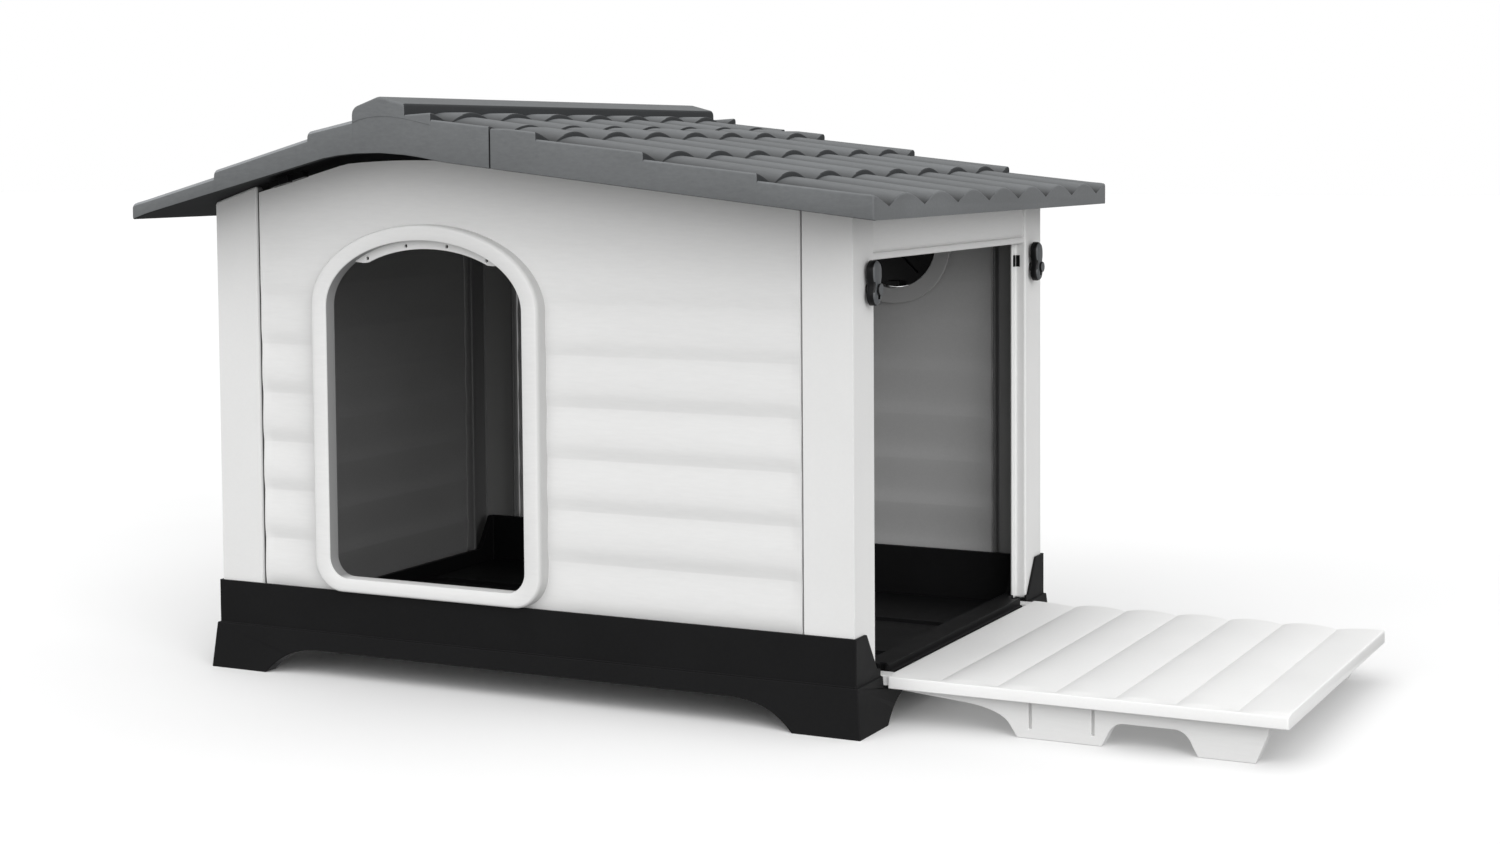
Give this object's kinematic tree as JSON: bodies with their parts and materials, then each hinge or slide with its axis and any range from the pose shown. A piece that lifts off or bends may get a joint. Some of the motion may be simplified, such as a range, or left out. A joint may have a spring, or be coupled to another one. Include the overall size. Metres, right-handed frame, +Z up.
{
  "type": "kennel",
  "caption": "Moulded plastic kennel with a tiled gable roof, wave-sided walls, an arched entrance and a side door that folds down as a veranda.",
  "frame": {"origin": "centre of the bounding box at floor level, with the side door lying open", "axes": "+X from the closed end towards the side door, +Y from the entrance towards the back wall, +Z up"},
  "size_m": [1.558, 0.84, 0.79],
  "materials": {
    "wall_plastic": "satin off-white moulded plastic with a faint grain",
    "roof_plastic": "satin mid-grey moulded plastic with fine tile relief",
    "base_plastic": "satin black moulded plastic",
    "fitting_plastic": "semi-gloss black moulded plastic"
  },
  "bodies": {
    "kennel": {"base_tray": "base_plastic", "post_front_left": "wall_plastic", "post_front_right": "wall_plastic", "post_back_left": "wall_plastic", "post_back_right": "wall_plastic", "front_panel": "wall_plastic", "arch_frame": "wall_plastic", "back_panel": "wall_plastic", "left_end_panel": "wall_plastic", "left_lintel": "wall_plastic", "right_lintel": "wall_plastic", "roof_left": "roof_plastic", "roof_right": "roof_plastic", "vent_ring": "wall_plastic", "vent_grille": "fitting_plastic", "latch_pivot_front": "fitting_plastic", "latch_pivot_back": "fitting_plastic", "roof_clip_front_left": "fitting_plastic", "roof_clip_back_left": "fitting_plastic", "roof_clip_front_right": "fitting_plastic", "roof_clip_back_right": "fitting_plastic"},
    "side_door": {"side_door": "wall_plastic", "door_leg_front": "wall_plastic", "door_leg_back": "wall_plastic"},
    "latch_front": {"latch_front": "fitting_plastic"},
    "latch_back": {"latch_back": "fitting_plastic"},
    "vent_shutter": {"vent_disc": "fitting_plastic"}
  },
  "joints": [
    {"name": "side_door_hinge", "type": "hinge", "parent": "kennel", "child": "side_door", "pos_m": [0.256, 0, 0.0567], "axis": [0, -1, 0], "range_deg": [0, 90]},
    {"name": "latch_front_turn", "type": "hinge", "parent": "kennel", "child": "latch_front", "pos_m": [0.272, -0.287, 0.5465], "axis": [-1, 0, 0], "range_deg": [-90, 90]},
    {"name": "latch_back_turn", "type": "hinge", "parent": "kennel", "child": "latch_back", "pos_m": [0.272, 0.287, 0.5465], "axis": [1, 0, 0], "range_deg": [-90, 90]},
    {"name": "vent_shutter_turn", "type": "hinge", "parent": "kennel", "child": "vent_shutter", "pos_m": [0.035, 0.325, 0.578], "axis": [0, 1, 0], "range_deg": [0, 45]}
  ]
}
